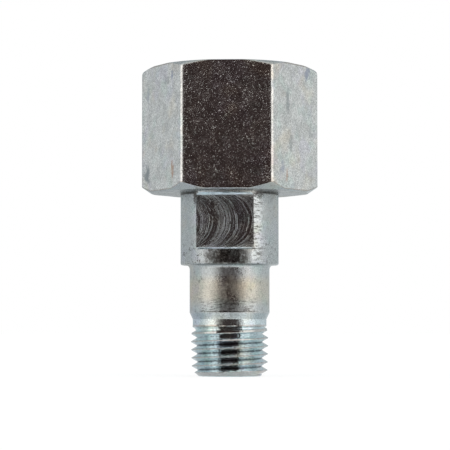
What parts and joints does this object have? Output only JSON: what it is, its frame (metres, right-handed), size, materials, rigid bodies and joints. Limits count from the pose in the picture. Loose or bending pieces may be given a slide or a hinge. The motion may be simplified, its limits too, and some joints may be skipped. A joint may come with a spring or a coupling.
{
  "type": "swivel pressure gauge adapter",
  "caption": "Turned steel stem with a male taper thread and wrench flats, and a hexagon swivel nut that takes a pressure gauge.",
  "frame": {"origin": "centre of the lower end face, where the taper thread begins", "axes": "+Z along the stem, up to the gauge; the wrench flats face -Y and +Y"},
  "size_m": [0.0308, 0.0282, 0.0541],
  "materials": {
    "stem_plating": "turned steel with a bluish zinc plating",
    "nut_plating": "drawn hexagon steel with a bluish zinc plating",
    "spring_wire": "bright spring wire",
    "copper": "soft annealed copper"
  },
  "bodies": {
    "stem_body": {"stem": "stem_plating", "sealing_washer": "copper"},
    "nut_body": {"swivel_nut": "nut_plating", "retaining_ring": "spring_wire"}
  },
  "joints": [
    {"name": "nut_spin", "type": "hinge", "parent": "stem_body", "child": "nut_body", "pos_m": [0, 0, 0.03491], "axis": [0, 0, 1], "continuous": true}
  ]
}
